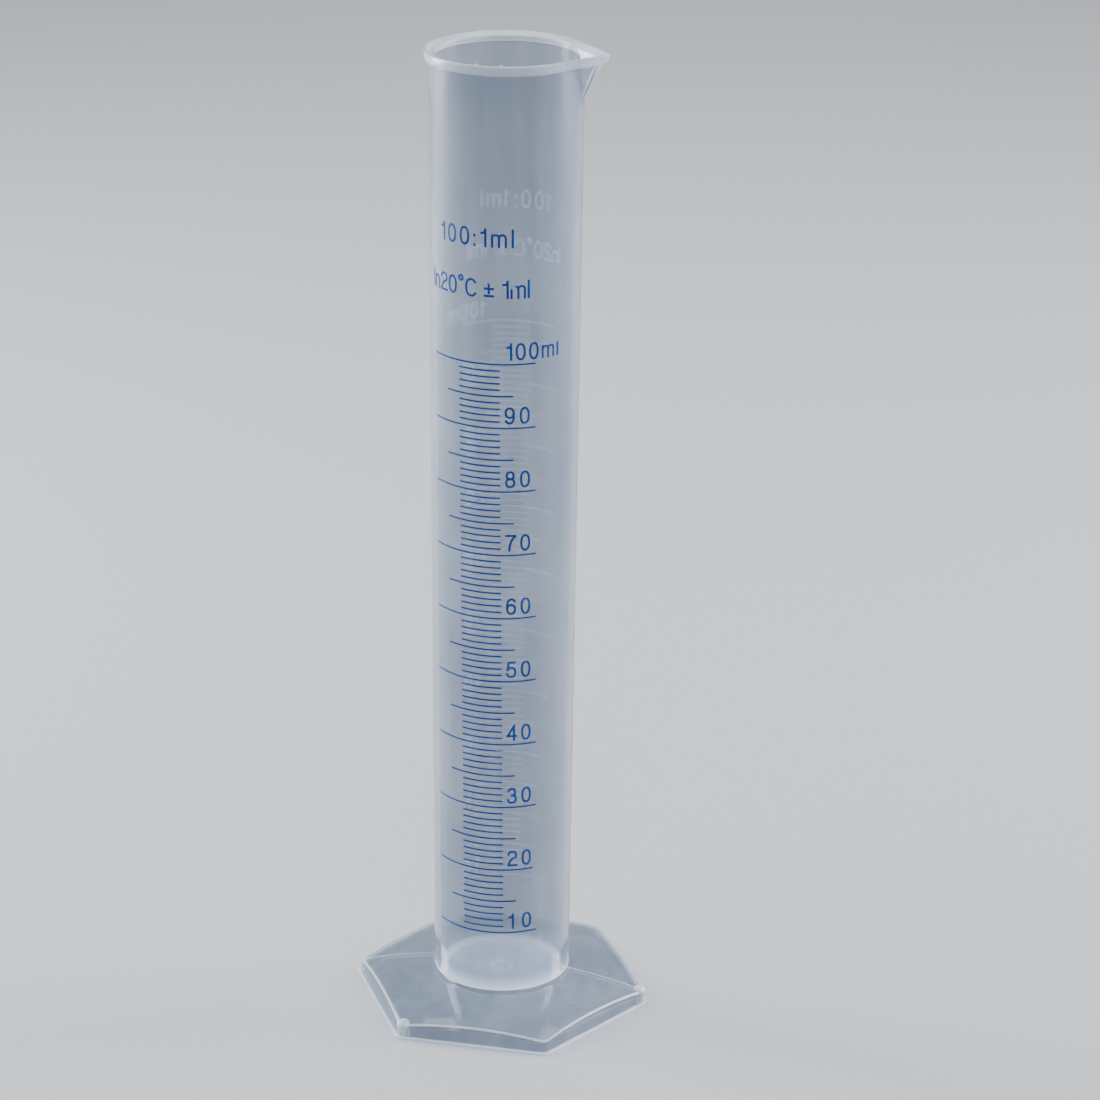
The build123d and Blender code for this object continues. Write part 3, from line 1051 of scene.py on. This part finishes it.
    def build(self, finishes: list) -> bpy.types.Object:
        """Builds the shell from rows of distance, height and whether the faces above carry the painted
        highlight.

        The section closes on itself: out under the lip, up the skirt, in over the dome, down by the tube and
        back underneath.

        Args:
            finishes: The plate's material and its paler copy, which paints a highlight on the edges.

        Returns:
            The piece.
        """
        edge = self.top_edge()
        rim, bend = self.skirt(edge), radians(self.edge_bend)
        start = rim - self.edge_round * (1.0 - cos(bend))
        pivot = self.dome(start) - self.edge_round * sin(bend)
        close = self.heel_radius + 0.01 * MM
        rows = [*self.lip_rows(), *self.edge_rows(rim, pivot)]
        rows += [*self.dome_rows(start, close), *self.hollow_rows(edge, close)]
        radius, height = (
            np.stack([np.broadcast_to(row[number], self.columns) for row in rows]) for number in (0, 1)
        )
        quads = lattice(len(rows), self.columns, closed=True)
        mesh = new_mesh("foot_shell", round_surface(self.angles, radius, height), quads)
        # Faces marked so get the paler copy of the plastic: a painted highlight on the lip and the top edge.
        painted_highlight = np.repeat([row[2] for row in rows], self.columns)
        mesh.polygons.foreach_set("material_index", painted_highlight.astype(np.int32))
        nodes = ("foot_plate", "foot_skirt", "foot_lip")
        return place("foot_shell", mesh, finishes, "clear_foot_plastic", nodes)


@dataclass
class CornerPips:
    """Three little round-topped posts at every second corner of the foot, flared where they meet the lip."""

    reach: float                 # from the axis to the pips' outermost point
    height: float
    lip_height: float
    radius: float = 1.5 * MM
    flare: float = 0.3 * MM
    crown: float = 0.9 * MM      # height and width of the rounding at the top
    turns: tuple = (0.0, 120.0, 240.0)
    columns: int = 48

    @classmethod
    def from_frame(cls) -> "CornerPips":
        """The pips at the size of the CAD node that they stand for."""
        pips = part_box("corner_pips")
        return cls(reach=pips[1].x, height=pips[1].z, lip_height=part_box("foot_lip")[1].z)

    def build(self, finishes: list) -> bpy.types.Object:
        """Builds the pips: each is a profile turned round its own axis, with a dome on top.

        Args:
            finishes: The pips' material.

        Returns:
            The piece.
        """
        climb = np.linspace(0.0, self.height - self.crown, 9)
        flare = self.flare * np.exp(-((climb / self.lip_height) ** 2)) * (1.0 - 0.6 * (climb == 0.0))
        bend = np.radians(np.linspace(0.0, 84.0, 9))[1:]
        radius = np.concatenate([self.radius + flare, self.radius - self.crown * (1.0 - np.cos(bend))])
        radius[-1] = 0.3 * self.radius
        height = np.concatenate([climb, self.height - self.crown + self.crown * np.sin(bend)])
        around = np.linspace(0.0, 2.0 * pi, self.columns, endpoint=False)
        radius, height = (np.repeat(row[:, None], self.columns, axis=1) for row in (radius, height))
        single = round_surface(around, radius, height)
        pips = []
        for turn in np.radians(self.turns):
            shift = (self.reach - self.radius) * np.array([cos(turn), sin(turn), 0.0])
            poles = (shift, shift + (0.0, 0.0, self.height))
            pips.append(capped(single + shift, self.columns, poles))
        mesh = new_mesh("corner_pips", *joined(pips))
        return place("foot_corner_pips", mesh, finishes, "clear_foot_plastic", ("corner_pips",))


# ------------------------------------------------------------------ print


class Side(Enum):
    """The two printed scales, by the first word of their nodes' names."""

    FRONT = "front"
    REAR = "rear"


@dataclass(frozen=True)
class Bar:
    """A straight pen stroke: (1 - t) * start + t * end."""

    start: tuple
    end: tuple

    def path(self) -> np.ndarray:
        """Points along the stroke, in units of the letter's height."""
        share = np.linspace(0.0, 1.0, 5)[:, None]
        return (1.0 - share) * np.array(self.start) + share * np.array(self.end)


@dataclass(frozen=True)
class Bow:
    """A curved pen stroke: part of an oval with fuller shoulders than an ellipse.

    At angle a, each of cos a and sin a keeps its sign and is raised to the power of the fullness.
    """

    centre: tuple
    size: tuple                  # half the oval's width and height
    first: float                 # degrees
    last: float
    fullness: float = 0.88

    def path(self) -> np.ndarray:
        """Points along the stroke, in units of the letter's height."""
        turn = np.radians(np.linspace(self.first, self.last, 5 + int(abs(self.last - self.first) / 14.0)))
        wave = np.stack([np.cos(turn), np.sin(turn)], axis=1)
        return np.array(self.centre) + np.array(self.size) * np.sign(wave) * np.abs(wave) ** self.fullness


ALPHABET = {
    "0": (Bow((0.26, 0.5), (0.26, 0.5), 0.0, 360.0),),
    "1": (Bar((0.27, 0.0), (0.27, 1.0)), Bow((0.04, 1.0), (0.23, 0.22), -4.0, -90.0)),
    "2": (
        Bow((0.26, 0.73), (0.25, 0.27), 172.0, -28.0),
        Bow((0.53, 0.0), (0.50, 0.56), 112.0, 178.0, 1.0),
        Bar((0.0, 0.0), (0.52, 0.0)),
    ),
    "3": (Bow((0.25, 0.76), (0.22, 0.24), 165.0, -90.0), Bow((0.25, 0.27), (0.26, 0.27), 90.0, -168.0)),
    "4": (Bar((0.41, 0.0), (0.41, 1.0)), Bar((0.41, 0.98), (0.0, 0.27)), Bar((0.0, 0.27), (0.55, 0.27))),
    "5": (
        Bar((0.09, 1.0), (0.48, 1.0)),
        Bar((0.1, 1.0), (0.03, 0.48)),
        Bow((0.25, 0.32), (0.27, 0.32), 148.0, -165.0),
    ),
    "6": (Bow((0.27, 0.31), (0.25, 0.31), 0.0, 360.0), Bow((0.29, 0.5), (0.28, 0.5), 195.0, 42.0)),
    "7": (Bar((0.0, 1.0), (0.52, 1.0)), Bow((0.78, 0.0), (0.60, 1.02), 180.0, 112.0, 1.0)),
    "8": (Bow((0.26, 0.76), (0.22, 0.24), 0.0, 360.0), Bow((0.26, 0.27), (0.26, 0.27), 0.0, 360.0)),
    "9": (Bow((0.25, 0.69), (0.25, 0.31), 0.0, 360.0), Bow((0.23, 0.5), (0.28, 0.5), 15.0, -138.0)),
    ":": (Bar((0.0, 0.0), (0.0, 0.03)), Bar((0.0, 0.58), (0.0, 0.61))),
    "m": (
        Bar((0.0, 0.0), (0.0, 0.7)),
        Bow((0.2, 0.48), (0.2, 0.22), 180.0, 0.0),
        Bar((0.4, 0.0), (0.4, 0.48)),
        Bow((0.6, 0.48), (0.2, 0.22), 180.0, 0.0),
        Bar((0.8, 0.0), (0.8, 0.48)),
    ),
    "n": (
        Bar((0.0, 0.0), (0.0, 0.7)),
        Bow((0.2, 0.46), (0.2, 0.24), 180.0, 0.0),
        Bar((0.4, 0.0), (0.4, 0.46)),
    ),
    "l": (Bar((0.0, 0.0), (0.0, 1.0)),),
    "I": (Bar((0.0, 0.0), (0.0, 1.0)),),
    "C": (Bow((0.33, 0.5), (0.33, 0.5), 40.0, 320.0),),
    "°": (Bow((0.14, 1.0), (0.14, 0.14), 0.0, 360.0, 1.0),),
    "±": (Bar((0.0, 0.08), (0.48, 0.08)), Bar((0.0, 0.52), (0.48, 0.52)), Bar((0.24, 0.26), (0.24, 0.78))),
    " ": (Bar((0.0, 0.0), (0.14, 0.0)),),
}


@dataclass
class PrintedScale:
    """One scale: graduation lines, numerals and words, screen-printed round the tube.

    The artwork is flat, with distances across, positive to the right, and heights up the tube. Every mark in
    it is a ribbon of ink along a pen stroke. Wrapping turns a distance across into an angle, by dividing it
    by the tube's radius at that height.
    """

    side: Side
    tube: GraduatedTube
    front_turn: float = -90.0    # direction of the front scale's own middle
    rear_turn: float = 195.0     # from the front scale round to the rear one
    skew: float = 0.55           # the artwork leans to the left as it goes up
    skew_centre: float = 90.0 * MM
    ink: float = 0.045 * MM
    standoff: float = 0.004 * MM  # from the tube's nominal surface to the ink's underside
    lift: float = 0.002 * MM     # keeps ribbons that cross apart
    line_width: float = 0.36 * MM
    pen: float = 0.5 * MM
    letter_height: float = 3.9 * MM
    letter_gap: float = 0.9 * MM
    ten_span: tuple = (-14.0, 11.0)
    five_span: tuple = (-9.5, 6.1)
    one_span: tuple = (-6.1, 3.2)
    numeral_span: tuple = (4.2, 9.7)
    label_span: tuple = (4.5, 16.9)
    # Words, height of their foot, their own height and their two ends, in mm.
    capacity: tuple = ("100:1ml", 183.1, 4.1, (-11.4, 6.4))
    tolerance: tuple = ("In20°C ± 1ml", 171.9, 4.1, (-14.7, 9.8))
    # Where the ink is worn off: distance across, height and radius, in mm.
    worn: tuple = (
        (0.3, 128.9, 0.35),
        (10.8, 37.4, 0.9),
        (8.9, 56.4, 0.4),
        (6.0, 174.75, 0.8),
        (16.6, 162.9, 1.8),
    )

    def liquid_height(self, millilitres: float) -> float:
        """Height that a volume fills the bore to.

        A bore of radius a that widens by k for each unit of height h holds pi / (3 k) ((a + k h)^3 - a^3).
        The fillet round the floor takes up a little of that room.

        Args:
            millilitres: The volume.

        Returns:
            The height.
        """
        start = self.tube.outside(self.tube.floor_top) - self.tube.wall
        growth, fillet = self.tube.taper, self.tube.heel_fillet
        lost = fillet**2 * (1.0 - pi / 4.0) * 2.0 * pi * (start - fillet / 5.0)
        volume = millilitres * MILLILITRE + lost
        widest = (start**3 + 3.0 * growth * volume / pi) ** (1.0 / 3.0)
        return self.tube.floor_top + (widest - start) / growth

    def wrapped(self, across: np.ndarray, height: np.ndarray, depth: np.ndarray) -> np.ndarray:
        """Places of the flat artwork once it is wrapped round the tube.

        Args:
            across: Distances across the artwork.
            height: Heights in it.
            depth: Distances from the tube's surface.

        Returns:
            The places.
        """
        shift = (self.skew_centre - height) * tan(radians(self.skew))
        turn = self.front_turn + (self.rear_turn if self.side is Side.REAR else 0.0)
        radius = self.tube.outside(height)
        return round_surface(radians(turn) + (across + shift) / radius, radius + depth, height)

    def worn_spots(self) -> list:
        """The places where the ink is worn off, each with its radius."""
        across, height, radius = np.array(self.worn).T * MM
        return list(zip(self.wrapped(across, height, np.zeros(len(self.worn))), radius))

    def ribbon(self, path: np.ndarray, width: float, lift: float) -> tuple:
        """A thin slab of ink along a path in the flat artwork, wrapped round the tube.

        The section is a flat rectangle. Its corners lie half the width to each side of the path, square to
        the path's own direction, just clear of the tube's surface and one ink thickness above that.

        Args:
            path: Points, as distance across and height.
            width: The ribbon's width.
            lift: A hair's breadth that keeps crossing ribbons apart.

        Returns:
            Vertices and quads.
        """
        closed = self.closes(path)
        path = path[:-1] if closed else path
        run = np.roll(path, -1, axis=0) - np.roll(path, 1, axis=0) if closed else np.gradient(path, axis=0)
        run /= np.linalg.norm(run, axis=1, keepdims=True)
        aside = np.stack([-run[:, 1], run[:, 0]], axis=1) * width / 2.0
        corners = np.stack([path + aside, path + aside, path - aside, path - aside], axis=1)
        depth = np.array([0.0, 1.0, 1.0, 0.0]) * (self.ink + lift) + self.standoff
        vertices = self.wrapped(corners[..., 0], corners[..., 1], depth)
        sides = lattice(len(path), 4, closed)
        first = np.array([[3, 2, 1, 0]])
        last = 4 * len(path) - 1 - first
        return vertices, sides if closed else np.concatenate([sides, first, last])

    def print_piece(self, name: str, ribbons: list, ink: bpy.types.Material, replaced: tuple) -> None:
        """Joins ribbons into one piece.

        Args:
            name: The piece's name, after the side's.
            ribbons: Paths and widths, in the artwork.
            ink: The ink's material.
            replaced: Names of the CAD nodes that it stands for, after the side's.
        """
        slabs = [
            self.ribbon(path, width, (number % 4) * self.lift) for number, (path, width) in enumerate(ribbons)
        ]
        label = f"{self.side.value}_{name}_print"
        mesh = new_mesh(label, *joined(slabs), smooth=False)
        nodes = tuple(f"{self.side.value}_{node}" for node in replaced)
        place(label, mesh, [ink], "blue_ink", nodes)

    def line(self, millilitres: float, span: tuple) -> tuple:
        """A graduation line, with one point to about a millimetre.

        Args:
            millilitres: The volume that it marks.
            span: Its two ends, in mm across.

        Returns:
            Its path and its width.
        """
        across = np.linspace(span[0], span[1], 2 + int(span[1] - span[0])) * MM
        level = np.full_like(across, self.liquid_height(millilitres))
        return np.stack([across, level], axis=1), self.line_width

    def words(self, text: str, foot: float, height: float, span: tuple) -> list:
        """Lettering that fills a span, with even gaps between its letters.

        Args:
            text: What it says.
            foot: Height that the letters stand at.
            height: The letters' own height.
            span: Its two ends, in mm across.

        Returns:
            Paths and widths.
        """
        tall = height - self.pen
        letters = [[stroke.path() * tall for stroke in ALPHABET[letter]] for letter in text]
        widths = [max(path[:, 0].max() for path in letter) + self.pen for letter in letters]
        gap = ((span[1] - span[0]) * MM - sum(widths)) / max(len(text) - 1, 1)
        ribbons, left = [], span[0] * MM
        for letter, strokes, width in zip(text, letters, widths):
            corner = np.array([left + self.pen / 2.0, foot + self.pen / 2.0])
            if letter != " ":
                ribbons += [(self.squared(path) + corner, self.pen) for path in strokes]
            left += width + gap
        return ribbons

    def closes(self, path: np.ndarray) -> bool:
        """Whether a path ends where it starts."""
        return bool(np.linalg.norm(path[0] - path[-1]) < 0.1 * self.pen)

    def squared(self, path: np.ndarray) -> np.ndarray:
        """A path made half a pen longer at each end, as a square pen leaves it, unless it closes."""
        if self.closes(path):
            return path
        first, last = path[0] - path[1], path[-1] - path[-2]
        first, last = (0.5 * self.pen * end / np.linalg.norm(end) for end in (first, last))
        return np.concatenate([[path[0] + first], path[1:-1], [path[-1] + last]])

    def build(self, ink: bpy.types.Material) -> None:
        """Prints the whole scale.

        Args:
            ink: The ink's material.
        """
        tens, fives = range(10, 101, 10), range(15, 96, 10)
        ones = [volume for volume in range(11, 100) if volume % 5]
        for name, volumes, span in (
            ("ten_ml_lines", tens, self.ten_span),
            ("five_ml_lines", fives, self.five_span),
            ("one_ml_lines", ones, self.one_span),
        ):
            self.print_piece(name, [self.line(volume, span) for volume in volumes], ink, (name,))
        numerals = []
        for volume in tens[:-1]:
            foot = self.liquid_height(volume) + self.letter_gap
            numerals += self.words(str(volume), foot, self.letter_height, self.numeral_span)
        self.print_piece("numerals", numerals, ink, tuple(f"numeral_{volume}" for volume in tens[:-1]))
        foot = self.liquid_height(100) + self.letter_gap
        label = self.words("100ml", foot, self.letter_height, self.label_span)
        self.print_piece("label_100_ml", label, ink, ("label_100_ml",))
        for name, words in (("capacity_text", self.capacity), ("tolerance_text", self.tolerance)):
            text, foot_mm, tall_mm, span = words
            self.print_piece(name, self.words(text, foot_mm * MM, tall_mm * MM, span), ink, (name,))


# ------------------------------------------------------------------ studio


@dataclass(frozen=True)
class Softbox:
    """A large soft lamp that looks at a point."""

    name: str
    position: tuple
    target: tuple
    size: tuple
    power: float

    def build(self) -> None:
        """Adds the lamp."""
        lamp = bpy.data.lights.new(self.name, "AREA")
        lamp.shape = "RECTANGLE"
        lamp.size, lamp.size_y = self.size
        lamp.energy = self.power
        item = bpy.data.objects.new(self.name, lamp)
        item.location = self.position
        aim = Vector(self.target) - Vector(self.position)
        item.rotation_euler = aim.to_track_quat("-Z", "Y").to_euler()
        bpy.context.scene.collection.objects.link(item)


@dataclass(frozen=True)
class Viewpoint:
    """The camera: where it stands round the object, and how it is turned."""

    azimuth: float = 13.036      # degrees round from the front scale towards the spout
    distance: float = 743.7 * MM
    height: float = 394.98 * MM
    down: float = 21.042         # degrees that it looks down
    aside: float = 0.785         # degrees that it looks to the right of the object's axis
    roll: float = 0.584
    lens: float = 117.6          # in mm, as the sensor
    sensor: float = 36.0
    sees_to: float = 50.0

    def build(self) -> None:
        """Adds the camera and makes it the scene's own."""
        stand, heading = radians(self.azimuth), radians(self.aside - self.azimuth)
        down, roll = radians(self.down), radians(self.roll)
        ahead = Vector((sin(heading) * cos(down), cos(heading) * cos(down), -sin(down)))
        level = Vector((cos(heading), -sin(heading), 0.0))
        raised = level.cross(ahead)
        right = cos(roll) * level + sin(roll) * raised
        up = cos(roll) * raised - sin(roll) * level
        data = bpy.data.cameras.new("camera")
        data.lens, data.sensor_width, data.clip_end = self.lens, self.sensor, self.sees_to
        camera = bpy.data.objects.new("camera", data)
        position = Vector((self.distance * sin(stand), -self.distance * cos(stand), self.height))
        turn = Matrix((right, up, -ahead)).transposed().to_4x4()
        camera.matrix_world = Matrix.Translation(position) @ turn
        bpy.context.scene.collection.objects.link(camera)
        bpy.context.scene.camera = camera


@dataclass
class Studio:
    """The floor, the lamps and the even light round them."""

    floor_radius: float = 6.0
    floor_drop: float = 0.02 * MM  # keeps the floor clear of the foot
    columns: int = 96
    ambient: tuple = (0.80, 0.84, 0.90, 1.0)
    ambient_strength: float = 0.6
    lamps: tuple = (
        Softbox("left_softbox", (-0.82, 0.14, 0.42), (0.0, 0.0, 0.12), (0.35, 0.9), 15.0),
        Softbox("right_softbox", (0.86, 0.42, 0.45), (0.0, 0.0, 0.12), (0.35, 0.9), 15.0),
        Softbox("overhead_softbox", (0.0, 0.5, 1.3), (0.0, 0.5, 0.0), (1.2, 0.9), 9.0),
        Softbox("front_softbox", (0.25, -0.95, 1.0), (0.0, 0.0, 0.12), (0.6, 0.4), 4.0),
    )

    def build(self) -> None:
        """Adds the floor, the lamps and the world."""
        angles = np.linspace(0.0, 2.0 * pi, self.columns, endpoint=False)
        rings = self.floor_radius * np.linspace(0.02, 1.0, 24) ** 2
        radius = np.repeat(rings[::-1, None], self.columns, axis=1)
        vertices = round_surface(angles, radius, np.full_like(radius, -self.floor_drop))
        mesh = new_mesh("floor", vertices, lattice(len(rings), self.columns))
        floor = bpy.data.objects.new("floor", mesh)
        mesh.materials.append(StudioPaper().build())
        bpy.context.scene.collection.objects.link(floor)
        for lamp in self.lamps:
            lamp.build()
        world = bpy.data.worlds.new("studio")
        world.use_nodes = True
        background = next(node for node in world.node_tree.nodes if node.type == "BACKGROUND")
        background.inputs["Color"].default_value = self.ambient
        background.inputs["Strength"].default_value = self.ambient_strength
        bpy.context.scene.world = world


# ------------------------------------------------------------------ all together


def moulded_finishes(effects: Effects) -> tuple:
    """The moulding's finishes.

    Args:
        effects: The shared effects.

    Returns:
        The materials of the tube's wall, its thick edges, the foot's plate and the plate's paler copy, which
        paints highlights on the foot's edges and pips.
    """
    wall = MouldedPlastic(
        name="milky_wall", milk=(0.54, 0.59, 0.66, 1.0), clear=(0.44, 0.49, 0.57, 1.0), transmission=0.88,
        roughness=0.04, grain=0.14, marks=0.15, dust=0.0, shadow=(0.86, 0.88, 0.91, 1.0), heel=0.85,
    )
    thick_edge = MouldedPlastic(
        name="milky_thick_edge", milk=(0.74, 0.79, 0.85, 1.0), clear=(0.62, 0.68, 0.76, 1.0),
        transmission=0.6, roughness=0.09, grain=0.3, marks=0.2, dust=0.1, shadow=(0.7, 0.73, 0.77, 1.0),
        heel=0.85,
    )
    plate = MouldedPlastic(
        name="clear_foot", milk=(0.35, 0.40, 0.47, 1.0), clear=(0.27, 0.32, 0.39, 1.0), transmission=0.8,
        roughness=0.05, grain=0.3, marks=0.35, dust=0.15, shadow=(0.75, 0.78, 0.83, 1.0),
    )
    # A paler copy of the foot plastic: painted highlight for the foot's edges, also used for the pips.
    foot_highlight = MouldedPlastic(
        name="clear_foot_painted_highlight", milk=(0.82, 0.87, 0.93, 1.0), clear=(0.72, 0.79, 0.88, 1.0),
        transmission=0.5, roughness=0.1, grain=0.3, marks=0.4, dust=0.15, shadow=(0.7, 0.73, 0.77, 1.0),
    )
    return tuple(finish.build(effects) for finish in (wall, thick_edge, plate, foot_highlight))


def main() -> None:
    """Builds the pieces in order, then the studio round them."""
    logging.basicConfig(level=logging.INFO, format="%(name)s: %(message)s")
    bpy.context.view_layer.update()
    effects = Effects()
    wall, thick_edge, plate, foot_highlight = moulded_finishes(effects)
    tube = GraduatedTube.from_frame()
    tube.build([wall, thick_edge])
    HexagonalFoot.from_frame(tube).build([plate, foot_highlight])
    # The pips, like the foot's edges, take the pale copy of the plastic that paints highlights.
    CornerPips.from_frame().build([foot_highlight])
    ink = PrintedInk().build(effects, PrintedScale(Side.FRONT, tube).worn_spots())
    for side in Side:
        PrintedScale(side, tube).build(ink)
    Studio().build()
    Viewpoint().build()


if __name__ == "__main__":
    main()
